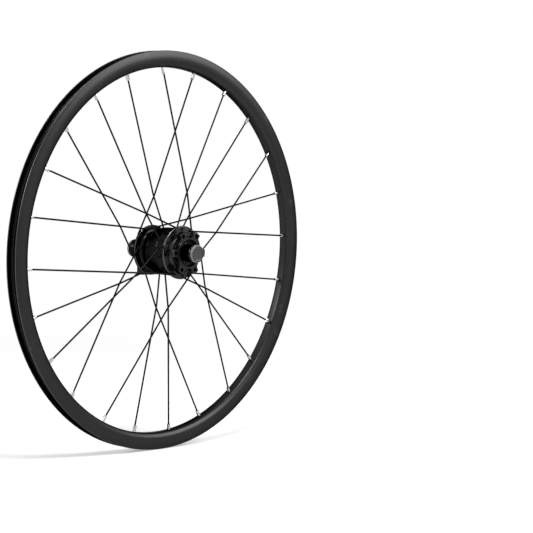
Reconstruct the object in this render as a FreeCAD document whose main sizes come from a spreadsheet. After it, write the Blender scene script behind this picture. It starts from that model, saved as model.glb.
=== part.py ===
import FreeCAD, Part
import math
import operator
import os
import Sketcher

# Dynamo front wheel for a small-wheeled bicycle, built on its hub axis.
# The wheel turns about Y, Z is up, and the origin is midway between the two dropout faces.
# The brake disc side is -Y and the lamp connector side is +Y.

Vec = FreeCAD.Vector

sizes = (
    ("rim_outer_radius", 232.0, "rim flange"),
    ("rim_flange_height", 6.5, "over the 451 mm bead seat circle"),
    ("rim_depth", 19.4, "rim flange down to the spoke bed"),
    ("rim_width", 18.0, "over both side walls"),
    ("rim_bed_width", 8.6, "flat of the spoke bed"),
    ("rim_corner_rise", 5.6, "height of the rounded lower corner"),
    ("rim_inner_width", 13.8, "between the bead walls"),
    ("bead_shoulder_run", 1.0, "slope from the bead seat into the tyre well"),
    ("hook_reach", 0.8, "how far the rim edge leans in over the bead"),
    ("well_width", 7.0, "flat floor of the tyre well"),
    ("well_depth", 3.8, "well floor below the bead seat"),
    ("rim_bed_wall", 1.8, "wall under the nipples"),
    ("rim_bridge_wall", 1.5, "wall under the tyre well"),
    ("rim_side_wall", 1.6, "side walls of the hollow box"),
    ("nipple_access_width", 6.2, "opening in the tyre well over each nipple"),
    ("valve_hole_radius", 3.25, "for a 6 mm slim valve"),
    ("first_spoke_angle", -5.0, "first rim hole, turned from straight up towards +X"),
    ("rim_hole_offset", 1.0, "rim holes staggered towards their own flange"),
    ("spoke_radius", 1.0, "plain gauge 2 mm spoke"),
    ("spoke_head_radius", 1.9, "cold-headed end"),
    ("spoke_head_height", 1.3, "cold-headed end"),
    ("elbow_reach", 2.9, "spoke elbow stands off the flange"),
    ("crossing_gap", 0.3, "between two spokes where they cross"),
    ("nipple_length", 12.0, "over all"),
    ("nipple_shown", 7.4, "length that stands out of the spoke bed"),
    ("nipple_flats", 3.3, "across the wrench flats"),
    ("nipple_head_radius", 2.8, "seat on the spoke bed, inside the box"),
    ("nipple_hole_clearance", 0.35, "between the nipple shank and its rim hole"),
    ("disc_flange_y", 26.5, "middle of the disc side flange, from the wheel's middle"),
    ("lamp_flange_y", 21.5, "middle of the lamp side flange"),
    ("flange_thickness", 3.0, ""),
    ("disc_flange_edge", 3.75, "flange outside its spoke hole circle"),
    ("lamp_flange_edge", 3.5, "flange outside its spoke hole circle"),
    ("disc_hole_circle", 54.5, "spoke hole circle of the disc side flange"),
    ("lamp_hole_circle", 52.0, "spoke hole circle of the lamp side flange"),
    ("spoke_hole_radius", 1.3, ""),
    ("rotor_face_y", 39.5, "brake disc seat, 10.5 mm inside the dropout face"),
    ("rotor_mount_thickness", 7.0, "six-lobed disc mount"),
    ("rotor_mount_radius", 26.0, "over the lobes"),
    ("rotor_bolt_circle", 44.0, "six bolts"),
    ("rotor_bolt_radius", 2.5, "M5"),
    ("scallop_radius", 9.5, "hollow between two lobes"),
    ("scallop_centre_radius", 27.0, "from the axis to the middle of each hollow"),
    ("lobe_corner_radius", 3.4, "rounding of each lobe"),
    ("neck_radius", 19.0, "shell neck between disc mount and flange"),
    ("cone_root_radius", 21.5, "cone where it leaves the disc side flange"),
    ("drum_radius", 28.0, ""),
    ("drum_start_y", -13.0, "disc side edge of the drum band"),
    ("drum_edge_y", -1.5, "lamp side edge of the drum band"),
    ("drum_end_y", 3.0, "where the lamp side shell screws in"),
    ("drum_wall", 2.2, ""),
    ("ridge_radius", 27.2, "notched band beside the drum, shared by both shells"),
    ("ridge_end_y", 4.6, "where the lamp side shell slopes down"),
    ("lamp_neck_radius", 20.5, ""),
    ("lamp_neck_y", 9.5, "where the lamp side neck begins"),
    ("spigot_length", 2.6, "part of the lamp side shell inside the drum"),
    ("cavity_radius", 15.2, "hollow of each shell next to its bearing"),
    ("bearing_outer_radius", 16.0, "20 x 32 x 7 cartridge bearing"),
    ("bearing_width", 7.0, ""),
    ("bearing_ring_wall", 1.8, ""),
    ("disc_bearing_y", -33.0, "outer face of the disc side bearing"),
    ("lamp_bearing_y", 20.4, "outer face of the lamp side bearing"),
    ("cage_gap", 0.3, "ball ring to either race"),
    ("seal_thickness", 1.2, ""),
    ("running_gap", 0.4, "between turning and standing pieces"),
    ("seal_gap", 0.3, "rubber lip to the axle parts"),
    ("press_gap", 0.02, "between pieces pressed together"),
    ("axle_radius", 10.0, "seat of both bearings and the generator"),
    ("axle_end_radius", 8.8, "turned-down ends for the end caps"),
    ("axle_bore_radius", 7.55, "for a 15 mm thru axle"),
    ("dropout_width", 100.0, "over both end caps"),
    ("cap_radius", 10.3, "barrel of each end cap"),
    ("cap_collar_radius", 10.9, "collar against the dropout"),
    ("cap_collar_width", 2.4, ""),
    ("cap_wrench_width", 20.0, "across the two flats of the lamp side collar"),
    ("plug_radius", 10.0, "head of the dust plug"),
    ("plug_thickness", 3.6, ""),
    ("plug_chamfer", 0.8, ""),
    ("plug_stem_length", 7.0, ""),
    ("plug_seat_radius", 7.75, "wider mouth of the axle bore, for a dust plug"),
    ("plug_seat_depth", 8.0, ""),
    ("plug_clearance", 0.08, "stem in the mouth of the axle bore"),
    ("lead_groove_width", 3.2, "in the axle, for the two coil leads"),
    ("lead_groove_depth", 1.5, ""),
    ("lead_radius", 0.55, ""),
    ("lead_spacing", 1.5, "between the two leads"),
    ("stator_start_y", -11.5, "disc side face of the generator"),
    ("stator_width", 11.0, ""),
    ("magnet_thickness", 2.2, ""),
    ("back_iron_thickness", 2.2, ""),
    ("claw_thickness", 1.6, ""),
    ("claw_width", 3.2, ""),
    ("core_radius", 13.0, ""),
    ("coil_radius", 18.0, ""),
    ("bobbin_wall", 0.9, ""),
    ("lock_ring_width", 2.5, "ring that holds the generator on the axle"),
    ("cover_radius", 23.0, "standing cover plate on the lamp side"),
    ("cover_thickness", 5.0, ""),
    ("connector_width", 16.0, ""),
    ("connector_depth", 8.6, "outward from the cover plate"),
    ("connector_top", 13.0, "below the axis"),
    ("connector_bottom", 30.0, "below the axis"),
    ("connector_wall", 1.3, ""),
    ("connector_neck_depth", 3.8, "saddle round the axle"),
    ("connector_neck_width", 12.0, ""),
    ("connector_neck_top", 8.0, "below the axis"),
    ("socket_depth", 9.0, ""),
    ("terminal_thickness", 0.8, ""),
    ("terminal_width", 3.6, ""),
)
spoke_count = 24
crossing_count = 2
pole_count = 28
bolt_count = 6
hidden_sides = 12
seal_sides = 24
rim_hollow_sides = 48
rod_sides = 6

# Shares of another size
corner_middle_rise = 0.3
corner_middle_width = 0.5
nipple_head_lift = 0.18
magnet_fill = 0.9
lead_bend = 2
slot_room = 3.2

# How far a cutting shape runs past the face that it opens
overcut = 1.0

doc = FreeCAD.newDocument("dynamo_front_wheel")
sheet = doc.addObject("Spreadsheet::Sheet", "Sizes")
for row, (alias, number, note) in enumerate(sizes, 1):
    sheet.set(f"A{row}", note)
    sheet.set(f"B{row}", str(number))
    sheet.setAlias(f"B{row}", alias)
doc.recompute()


# A length from the sheet, or a sum of such lengths, kept as an expression and as a number.
class Length:
    def __init__(self, text, number):
        self.text = text
        self.number = number

    def __float__(self):
        return self.number

    def __neg__(self):
        return Length(f"(-{self.text})", -self.number)

    def __add__(self, other):
        return joined(self, "+", other)

    def __radd__(self, other):
        return joined(other, "+", self)

    def __sub__(self, other):
        return joined(self, "-", other)

    def __mul__(self, other):
        return joined(self, "*", other)

    def __rmul__(self, other):
        return joined(other, "*", self)

    def __truediv__(self, other):
        return joined(self, "/", other)


signs = {"+": operator.add, "-": operator.sub, "*": operator.mul, "/": operator.truediv}


def joined(left, sign, right):
    left, right = (
        side if isinstance(side, Length) else Length(f"{side:.9f}", float(side))
        for side in (left, right)
    )
    return Length(f"({left.text} {sign} {right.text})", signs[sign](left.number, right.number))


class Sizes:
    def __getattr__(self, alias):
        return Length(f"Sizes.{alias}", float(sheet.get(alias)))


size = Sizes()
parts = []


# Sketches and turned pieces

def sketch_on(body, name, plane, lift=None):
    sketch = body.newObject("Sketcher::SketchObject", name)
    support = next(o for o in body.Origin.OriginFeatures if o.Role == plane)
    sketch.AttachmentSupport = [(support, "")]
    sketch.MapMode = "FlatFace"
    if lift is not None:
        sketch.setExpression(".AttachmentOffset.Base.z", lift.text)
    return sketch


def pin_point(sketch, geometry, end, across, along):
    for kind, length in (("DistanceX", across), ("DistanceY", along)):
        place = sketch.addConstraint(
            Sketcher.Constraint(kind, -1, 1, geometry, end, float(length))
        )
        if isinstance(length, Length):
            sketch.setExpression(f"Constraints[{place}]", length.text)


# A closed outline through corners, each an (across, along) pair.
def outline(sketch, corners):
    first = sketch.GeometryCount
    spots = [Vec(float(across), float(along), 0) for across, along in corners]
    following = spots[1:] + spots[:1]
    for start, end in zip(spots, following):
        sketch.addGeometry(Part.LineSegment(start, end))
    for number in range(len(spots)):
        after = (number + 1) % len(spots)
        sketch.addConstraint(
            Sketcher.Constraint("Coincident", first + number, 2, first + after, 1)
        )
    for number, (across, along) in enumerate(corners):
        pin_point(sketch, first + number, 1, across, along)


def circle(sketch, across, along, radius):
    number = sketch.addGeometry(
        Part.Circle(Vec(float(across), float(along), 0), Vec(0, 0, 1), float(radius))
    )
    pin_point(sketch, number, 3, across, along)
    place = sketch.addConstraint(Sketcher.Constraint("Radius", number, float(radius)))
    sketch.setExpression(f"Constraints[{place}]", radius.text)


# A body turned about the wheel's axis from (radius, y) corners.
def turned(label, corners):
    body = doc.addObject("PartDesign::Body", label)
    sketch = sketch_on(body, f"{label}_section", "XY_Plane")
    outline(sketch, corners)
    turn = body.newObject("PartDesign::Revolution", f"{label}_turned")
    turn.Profile = sketch
    turn.ReferenceAxis = (sketch, ["V_Axis"])
    turn.Angle = 360
    body.Tip = turn
    return body


# A pocket cut from the sketch towards +Y, and repeated about the axis.
def pocket_round(body, sketch, name, depth, count):
    doc.recompute()
    before = body.Shape.Volume
    pocket = body.newObject("PartDesign::Pocket", name)
    pocket.Profile = sketch
    pocket.setExpression("Length", depth.text)
    pattern = body.newObject("PartDesign::PolarPattern", f"{name}_round")
    pattern.Originals = [pocket]
    pattern.Axis = (sketch, ["N_Axis"])
    pattern.Angle = 360
    pattern.Occurrences = count
    body.Tip = pattern
    doc.recompute()
    if body.Shape.Volume > before - 1:
        raise RuntimeError(f"{name} cuts nothing")


def keep(piece):
    parts.append(piece)


# Hidden rings are many-sided: each lies between its inner and outer radius.
to_axis = FreeCAD.Rotation(Vec(1, 0, 0), -90)
inscribed = math.cos(math.pi / hidden_sides)


def prism(name, radius, start, length, sides=hidden_sides):
    solid = doc.addObject("Part::Prism", name)
    solid.Polygon = sides
    solid.setExpression("Circumradius", radius.text)
    solid.setExpression("Height", length.text)
    solid.Placement = FreeCAD.Placement(Vec(0, float(start), 0), to_axis)
    solid.setExpression(".Placement.Base.y", start.text)
    return solid


def cut(name, base, tool):
    piece = doc.addObject("Part::Cut", name)
    piece.Base = base
    piece.Tool = tool
    return piece


def fused(name, pieces):
    piece = doc.addObject("Part::MultiFuse", name)
    piece.Shapes = pieces
    return piece


def hidden_ring(name, inner, outer, start, length, sides=hidden_sides):
    return cut(
        name,
        prism(f"{name}_outside", outer, start, length, sides),
        prism(f"{name}_inside", inner / math.cos(math.pi / sides), start, length, sides),
    )


def cylinder(name, radius, start, length):
    solid = doc.addObject("Part::Cylinder", name)
    solid.setExpression("Radius", radius.text)
    solid.setExpression("Height", length.text)
    solid.Placement = FreeCAD.Placement(Vec(0, float(start), 0), to_axis)
    solid.setExpression(".Placement.Base.y", start.text)
    return solid


def box(name, low, high):
    solid = doc.addObject("Part::Box", name)
    for side, base, bottom, top in zip(("Length", "Width", "Height"), "xyz", low, high):
        solid.setExpression(side, (top - bottom).text)
        solid.setExpression(f".Placement.Base.{base}", bottom.text)
    return solid


def made(name, shape):
    piece = doc.addObject("Part::Feature", name)
    piece.Shape = shape
    piece.Placement = FreeCAD.Placement()
    return piece


# Round-the-wheel geometry: angles run from straight up towards +X.

def on_wheel(radius, angle, y):
    turn = math.radians(angle)
    return Vec(radius * math.sin(turn), y, radius * math.cos(turn))


def polygon(centre, normal, radius, sides, start=0.0):
    normal = Vec(normal).normalize()
    across = normal.cross(Vec(0.31, 0.87, 0.38)).normalize()
    up = normal.cross(across)
    corners = []
    for number in range(sides):
        turn = 2 * math.pi * (number + start) / sides
        corners.append(
            centre + across * (radius * math.cos(turn)) + up * (radius * math.sin(turn))
        )
    return Part.makePolygon(corners + corners[:1])


def bar(start, end, radius, sides, turn=0.0):
    along = end - start
    return Part.Face(polygon(start, along, radius, sides, turn)).extrude(along)


# A straight-sided rod that follows a route, mitred at each bend.
def bent_bar(route, radius, sides):
    first = polygon(route[0], route[1] - route[0], radius, sides)
    rims = [[vertex.Point for vertex in first.OrderedVertexes]]
    for number in range(1, len(route)):
        before = (route[number] - route[number - 1]).normalize()
        after = before
        if number + 1 < len(route):
            after = (route[number + 1] - route[number]).normalize()
        mitre = (before + after).normalize()
        moved = []
        for corner in rims[-1]:
            run = (route[number] - corner).dot(mitre) / before.dot(mitre)
            moved.append(corner + before * run)
        rims.append(moved)
    rings = [Part.makePolygon(rim + rim[:1]) for rim in rims]
    faces = [Part.Face(rings[0]), Part.Face(rings[-1])]
    for near, far in zip(rims, rims[1:]):
        for number in range(sides):
            after = (number + 1) % sides
            corners = [near[number], near[after], far[after], far[number], near[number]]
            faces.append(Part.Face(Part.makePolygon(corners)))
    return closed_solid(faces)


# A hidden hollow turned in flat panels from (radius, y) corners.
def panelled_turn(corners, sides, turn):
    corners = [(float(radius), float(y)) for radius, y in corners]
    seams = [turn + 360 / sides * (number + 0.5) for number in range(sides + 1)]
    faces = []
    for left, right in zip(seams, seams[1:]):
        for (near, y), (far, next_y) in zip(corners, corners[1:] + corners[:1]):
            spots = [on_wheel(near, left, y), on_wheel(far, left, next_y)]
            if far:
                spots.append(on_wheel(far, right, next_y))
            if near:
                spots.append(on_wheel(near, right, y))
            if len(spots) > 2:
                faces.append(Part.Face(Part.makePolygon(spots + spots[:1])))
    return closed_solid(faces)


def closed_solid(faces):
    shell = Part.makeShell(faces)
    shell.sewShape()
    solid = Part.makeSolid(shell)
    if solid.Volume < 0:
        solid.reverse()
    return solid


# Derived places along the axle

disc_outer_face = -(size.disc_flange_y + size.flange_thickness / 2)
disc_inner_face = -(size.disc_flange_y - size.flange_thickness / 2)
lamp_inner_face = size.lamp_flange_y - size.flange_thickness / 2
lamp_outer_face = size.lamp_flange_y + size.flange_thickness / 2
disc_mount_face = -size.rotor_face_y
drum_bore = size.drum_radius - size.drum_wall
bearing_seat = size.bearing_outer_radius + size.press_gap
axle_seat = size.axle_radius + size.press_gap
axle_end_seat = size.axle_end_radius + size.press_gap
axle_flat = axle_seat * inscribed
cover_start = lamp_outer_face + size.running_gap
cover_end = cover_start + size.cover_thickness
saddle_end = cover_end + size.connector_neck_depth
dropout_face = size.dropout_width / 2
stator_end = size.stator_start_y + size.stator_width
lead_down_y = cover_end + size.connector_wall + size.lead_radius + size.press_gap * 2


# Rim

rim_inner_radius = size.rim_outer_radius - size.rim_depth
bead_seat_radius = size.rim_outer_radius - size.rim_flange_height
bed_half = size.rim_bed_width / 2
rim_half = size.rim_width / 2
bead_half = size.rim_inner_width / 2
well_half = size.well_width / 2
well_radius = bead_seat_radius - size.well_depth
bed_top = rim_inner_radius + size.rim_bed_wall
box_half = rim_half - size.rim_side_wall


def mirrored(half):
    return half + [(radius, -y) for radius, y in reversed(half)]


def rim_section():
    rise = size.rim_corner_rise
    return turned(
        "rim_extrusion",
        mirrored(
            [
                (rim_inner_radius, bed_half),
                (rim_inner_radius + rise * corner_middle_rise, rim_half - rise * corner_middle_width),
                (rim_inner_radius + rise, rim_half),
                (size.rim_outer_radius, rim_half),
                (size.rim_outer_radius, bead_half - size.hook_reach),
                (bead_seat_radius, bead_half),
                (bead_seat_radius, well_half + size.bead_shoulder_run),
                (well_radius, well_half),
            ]
        ),
    )


def rim_hollow():
    out_to_corner = 1 / math.cos(math.pi / rim_hollow_sides)
    roof = well_radius - size.rim_bridge_wall
    corners = [
        (bed_top * out_to_corner, bed_half),
        (roof, box_half - size.rim_side_wall),
    ]
    return panelled_turn(mirrored(corners), rim_hollow_sides, float(size.first_spoke_angle))


# Each spoke: where its rim hole, crossing and hub hole lie.

def spoke_lines():
    pitch = 360 / spoke_count
    hub_pitch = 2 * pitch
    lines = []
    for number in range(spoke_count):
        side = -1 if number % 2 == 0 else 1
        hand = 1 if number // 2 % 2 == 0 else -1
        ahead = hand if side < 0 else -hand
        lines.append(spoke_line(side, ahead, number * pitch, hub_pitch))
    return lines


def spoke_line(side, ahead, turn, hub_pitch):
    disc = side < 0
    flange_y = float(size.disc_flange_y if disc else size.lamp_flange_y)
    hub_radius = float(size.disc_hole_circle if disc else size.lamp_hole_circle) / 2
    half = float(size.flange_thickness) / 2
    reach = float(size.elbow_reach)
    outside = ahead < 0
    rim_angle = float(size.first_spoke_angle) + turn
    hub_angle = rim_angle + ahead * crossing_count * hub_pitch
    cross_angle = rim_angle + ahead * hub_pitch / 2
    seat_radius = float(bed_top)

    # radius at which the straight line from hub hole to rim hole passes the crossing angle
    span = math.radians(crossing_count * hub_pitch)
    to_cross = math.radians((crossing_count - 0.5) * hub_pitch)
    cross_radius = (hub_radius * seat_radius * math.sin(span)) / (
        hub_radius * math.sin(to_cross) + seat_radius * math.sin(span - to_cross)
    )
    hole = on_wheel(hub_radius, hub_angle, side * flange_y)
    seat = on_wheel(seat_radius, rim_angle, side * float(size.rim_hole_offset))
    cross = on_wheel(cross_radius, cross_angle, 0)
    share = (cross - Vec(hole.x, 0, hole.z)).Length / (seat - hole).Length
    middle = side * (flange_y * (1 - share) + float(size.rim_hole_offset) * share)
    weave = side * (float(size.spoke_radius) + float(size.crossing_gap) / 2)
    cross.y = middle - weave if outside else middle + weave

    away = side if outside else -side
    elbow = Vec(hole.x, hole.y + away * (half + reach), hole.z)
    head = Vec(hole.x, hole.y - away * half, hole.z)
    to_rim = (seat - cross).normalize()
    return {
        "side": side, "ahead": ahead, "rim_angle": rim_angle, "hole": hole, "head": head,
        "elbow": elbow, "away": Vec(0, away, 0), "cross": cross, "seat": seat, "to_rim": to_rim,
    }


lines = spoke_lines()


# A square opening straight out from the axis.
def square_hole(angle, y, width, low, high):
    hole = Part.makeBox(width, width, high - low, Vec(-width / 2, y - width / 2, low))
    hole.rotate(Vec(0, 0, 0), Vec(0, 1, 0), angle)
    return hole


def rim():
    nipple_width = float(size.nipple_flats + size.nipple_hole_clearance * 2)
    access_width = float(size.nipple_access_width)
    offset = float(size.rim_hole_offset)
    inner, middle, outer = float(rim_inner_radius), float(bed_top), float(bead_seat_radius)
    roof = float(well_radius - size.rim_bridge_wall)
    holes = []
    for line in lines:
        angle = line["rim_angle"]
        y = line["side"] * offset
        holes.append(square_hole(angle, y, nipple_width, inner - overcut, middle + overcut))
        holes.append(square_hole(angle, 0, access_width, roof - overcut, outer))
    valve_angle = float(size.first_spoke_angle) + 360 / spoke_count * (spoke_count / 2 + 1.5)
    valve = Part.makeCylinder(
        float(size.valve_hole_radius),
        outer - inner + overcut * 2,
        on_wheel(inner - overcut * 2, valve_angle, 0),
        on_wheel(1, valve_angle, 0),
    )
    openings = made("rim_openings", Part.makeCompound([rim_hollow(), *holes, valve]))
    keep(cut("rim", rim_section(), openings))


# Spokes and nipples

def spoke(line):
    shown = float(size.nipple_shown) + float(size.rim_bed_wall)
    end = line["seat"] - line["to_rim"] * shown
    route = [line["head"], line["elbow"], line["cross"], end]
    rod = bent_bar(route, float(size.spoke_radius), rod_sides)
    cap = line["head"] - line["away"] * float(size.spoke_head_height)
    head = bar(line["head"], cap, float(size.spoke_head_radius), rod_sides)
    return rod.fuse(head).removeSplitter()


def nipple(line):
    seat, out = line["seat"], line["to_rim"]
    inner = seat - out * (float(size.nipple_shown) + float(size.rim_bed_wall))
    outer = inner + out * float(size.nipple_length)
    head_start = seat + out * (nipple_head_lift * float(size.nipple_head_radius))
    half = float(size.nipple_flats) / 2
    across = out.cross(Vec(0, 1, 0)).normalize()
    up = out.cross(across)
    turns = ((1, 1), (-1, 1), (-1, -1), (1, -1), (1, 1))
    square = Part.makePolygon([inner + across * (half * a) + up * (half * b) for a, b in turns])
    shank = Part.Face(square).extrude(head_start - inner)
    head = bar(head_start, outer, float(size.nipple_head_radius), rod_sides)
    return shank.fuse(head)


def spokes_and_nipples():
    groups = {
        "disc_side_outer_spokes": (-1, -1),
        "disc_side_inner_spokes": (-1, 1),
        "lamp_side_outer_spokes": (1, -1),
        "lamp_side_inner_spokes": (1, 1),
    }
    for label, (side, ahead) in groups.items():
        chosen = [line for line in lines if (line["side"], line["ahead"]) == (side, ahead)]
        keep(made(label, Part.makeCompound([spoke(line) for line in chosen])))
    keep(made("spoke_nipples", Part.makeCompound([nipple(line) for line in lines])))


# Hub shell in two pieces

def flange_drills(side):
    half = float(size.flange_thickness)
    radius = float(size.spoke_hole_radius)
    holes = []
    for line in lines:
        if line["side"] == side:
            reach = Vec(0, half, 0)
            holes.append(bar(line["hole"] - reach, line["hole"] + reach, radius, rod_sides))
    return Part.makeCompound(holes)


# A shell is turned solid, then bored for its bearing, hollowed and drilled for its spokes.
def opened_shell(label, solid, side, bore_start, bore_length, hollow):
    bore = cylinder(f"{label}_bearing_bore", bearing_seat, bore_start, bore_length)
    inside = panelled_turn(hollow, hidden_sides, 0)
    tools = fused(
        f"{label}_openings",
        [bore, made(f"{label}_hollow", inside), made(f"{label}_spoke_holes", flange_drills(side))],
    )
    keep(cut(label, solid, tools))


def disc_side_shell():
    flange_radius = size.disc_hole_circle / 2 + size.disc_flange_edge
    body = turned(
        "disc_side_shell_body",
        [
            (0, disc_mount_face),
            (size.rotor_mount_radius, disc_mount_face),
            (size.rotor_mount_radius, disc_mount_face + size.rotor_mount_thickness),
            (size.neck_radius, disc_mount_face + size.rotor_mount_thickness),
            (size.neck_radius, disc_outer_face),
            (flange_radius, disc_outer_face),
            (flange_radius, disc_inner_face),
            (size.cone_root_radius, disc_inner_face),
            (size.drum_radius, size.drum_start_y),
            (size.drum_radius, size.drum_edge_y),
            (size.ridge_radius, size.drum_edge_y),
            (size.ridge_radius, size.drum_end_y),
            (0, size.drum_end_y),
        ],
    )
    scallop = sketch_on(body, "scallop", "XZ_Plane", size.rotor_face_y)
    half_pitch = math.radians(180 / bolt_count)
    circle(
        scallop,
        size.scallop_centre_radius * math.cos(half_pitch),
        size.scallop_centre_radius * math.sin(half_pitch),
        size.scallop_radius,
    )
    pocket_round(body, scallop, "scallops", size.rotor_mount_thickness, bolt_count)
    bolt = sketch_on(body, "rotor_bolt", "XZ_Plane", size.rotor_face_y)
    circle(bolt, size.rotor_bolt_circle / 2, 0, size.rotor_bolt_radius)
    pocket_round(body, bolt, "rotor_bolts", size.rotor_mount_thickness, bolt_count)

    holed = body.Tip
    lobes = body.newObject("PartDesign::Fillet", "lobe_corners")
    lobes.Base = (holed, lobe_edges(holed.Shape))
    lobes.setExpression("Radius", size.lobe_corner_radius.text)
    body.Tip = lobes

    shoulder = size.disc_bearing_y + size.bearing_width
    hollow = [
        (0, shoulder - overcut),
        (size.cavity_radius, shoulder - overcut),
        (size.cavity_radius, shoulder + size.drum_wall),
        (drum_bore / inscribed, size.drum_start_y - size.running_gap * 2),
        (drum_bore / inscribed, size.drum_end_y + overcut),
        (0, size.drum_end_y + overcut),
    ]
    bore_length = shoulder - disc_mount_face
    opened_shell("disc_side_hub_shell", body, -1, disc_mount_face, bore_length, hollow)


# The edges along the axis where a scallop meets the outside of the disc mount.
def lobe_edges(shape):
    found = []
    outside = float(size.rotor_mount_radius)
    for number, edge in enumerate(shape.Edges, 1):
        ends = [vertex.Point for vertex in edge.Vertexes]
        if len(ends) == 2 and abs(ends[0].x - ends[1].x) < 1e-6:
            along = abs(ends[0].y - ends[1].y)
            radius = math.hypot(ends[0].x, ends[0].z)
            if abs(radius - outside) < 1e-4 and abs(along - float(size.rotor_mount_thickness)) < 1e-4:
                found.append(f"Edge{number}")
    return found


def lamp_side_shell():
    flange_radius = size.lamp_hole_circle / 2 + size.lamp_flange_edge
    body = turned(
        "lamp_side_shell_body",
        [
            (0, size.drum_end_y),
            (size.ridge_radius, size.drum_end_y),
            (size.ridge_radius, size.ridge_end_y),
            (size.lamp_neck_radius, size.lamp_neck_y),
            (size.lamp_neck_radius, lamp_inner_face),
            (flange_radius, lamp_inner_face),
            (flange_radius, lamp_outer_face),
            (0, lamp_outer_face),
        ],
    )
    spigot_outer = drum_bore - size.press_gap
    spigot_start = size.drum_end_y - size.spigot_length
    spigot = prism("lamp_side_spigot", spigot_outer, spigot_start, size.spigot_length)
    solid = fused("lamp_side_shell_solid", [body, spigot])
    spigot_inner = spigot_outer * inscribed - size.drum_wall / 2
    shoulder = size.lamp_bearing_y - size.bearing_width
    hollow = [
        (0, spigot_start - overcut),
        (spigot_inner, spigot_start - overcut),
        (spigot_inner, size.drum_end_y),
        (size.cavity_radius, shoulder - size.drum_wall),
        (size.cavity_radius, shoulder + overcut),
        (0, shoulder + overcut),
    ]
    bore_length = lamp_outer_face - shoulder
    opened_shell("lamp_side_hub_shell", solid, 1, shoulder, bore_length, hollow)


# Axle, end caps and dust plugs

def axle():
    seat_length = saddle_end - size.disc_bearing_y
    solid = fused(
        "axle_solid",
        [
            prism("axle_seat", size.axle_radius, size.disc_bearing_y, seat_length),
            prism("axle_ends", size.axle_end_radius, -dropout_face, size.dropout_width),
        ],
    )
    bore = cylinder("axle_bore", size.axle_bore_radius, -dropout_face, size.dropout_width)
    depth = size.plug_seat_depth
    disc_mouth = cylinder("disc_side_mouth", size.plug_seat_radius, -dropout_face, depth)
    lamp_mouth = cylinder("lamp_side_mouth", size.plug_seat_radius, dropout_face - depth, depth)
    half = size.lead_groove_width / 2
    bottom = -size.axle_radius
    groove = box(
        "lead_groove",
        (-half, stator_end - size.claw_thickness, bottom - size.running_gap),
        (half, lead_down_y + size.lead_groove_width / 2, bottom + size.lead_groove_depth),
    )
    openings = fused("axle_openings", [bore, disc_mouth, lamp_mouth, groove])
    keep(cut("axle", solid, openings))


def cap_bore(label, solid, low, high):
    bore = prism(f"{label}_bore", axle_end_seat, low, high - low)
    keep(cut(label, solid, bore))


def cap_section(side, start):
    collar = dropout_face - size.cap_collar_width
    return [
        (0, start),
        (size.cap_radius, start),
        (size.cap_radius, side * collar),
        (size.cap_collar_radius, side * collar),
        (size.cap_collar_radius, side * dropout_face),
        (0, side * dropout_face),
    ]


def end_caps():
    disc_solid = turned("disc_side_cap_solid", cap_section(-1, size.disc_bearing_y))
    cap_bore("disc_side_end_cap", disc_solid, -dropout_face, size.disc_bearing_y)
    body = turned("lamp_side_cap_solid", cap_section(1, saddle_end))
    flats = sketch_on(body, "wrench_flats", "XZ_Plane", -dropout_face)
    flat_x = size.cap_wrench_width / 2
    reach = size.cap_collar_radius + size.cap_collar_width
    for side in (1, -1):
        outline(
            flats,
            [
                (side * flat_x, -reach),
                (side * reach, -reach),
                (side * reach, reach),
                (side * flat_x, reach),
            ],
        )
    pocket = body.newObject("PartDesign::Pocket", "wrench_flats_cut")
    pocket.Profile = flats
    pocket.Reversed = True
    pocket.setExpression("Length", size.cap_collar_width.text)
    body.Tip = pocket
    cap_bore("lamp_side_end_cap", body, saddle_end, dropout_face)


def dust_plug(label, side):
    head_end = dropout_face + size.plug_thickness
    head = turned(
        f"{label}_head",
        [
            (0, side * dropout_face),
            (size.plug_radius, side * dropout_face),
            (size.plug_radius, side * (head_end - size.plug_chamfer)),
            (size.plug_radius - size.plug_chamfer, side * head_end),
            (0, side * head_end),
        ],
    )
    radius = size.plug_seat_radius - size.plug_clearance
    start = -dropout_face if side < 0 else dropout_face - size.plug_stem_length
    stem = prism(f"{label}_stem", radius, start, size.plug_stem_length)
    keep(fused(label, [head, stem]))


# Bearings and seals

def bearing(side_name, outer_face, side):
    start = outer_face if side < 0 else outer_face - size.bearing_width
    width = size.bearing_width
    inner_top = size.axle_radius + size.bearing_ring_wall
    outer_bottom = size.bearing_outer_radius - size.bearing_ring_wall
    cage_start = start + width / 4
    keep(hidden_ring(f"{side_name}_bearing_inner_ring", axle_flat, inner_top, start, width))
    keep(
        hidden_ring(
            f"{side_name}_bearing_outer_ring", outer_bottom, size.bearing_outer_radius, start, width
        )
    )
    keep(
        hidden_ring(
            f"{side_name}_bearing_balls",
            inner_top + size.cage_gap,
            outer_bottom - size.cage_gap,
            cage_start,
            width / 2,
        )
    )


def seals():
    outer = bearing_seat - size.press_gap
    disc_start = size.disc_bearing_y - size.running_gap - size.seal_thickness
    lamp_start = size.lamp_bearing_y + size.running_gap
    width = size.seal_thickness
    disc_lip = size.cap_radius + size.seal_gap
    lamp_lip = size.axle_radius + size.seal_gap
    keep(hidden_ring("disc_side_seal", disc_lip, outer, disc_start, width, seal_sides))
    keep(hidden_ring("lamp_side_seal", lamp_lip, outer, lamp_start, width, seal_sides))


# Generator: magnets turn with the shell, the claw poles and coil stand on the axle.

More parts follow.
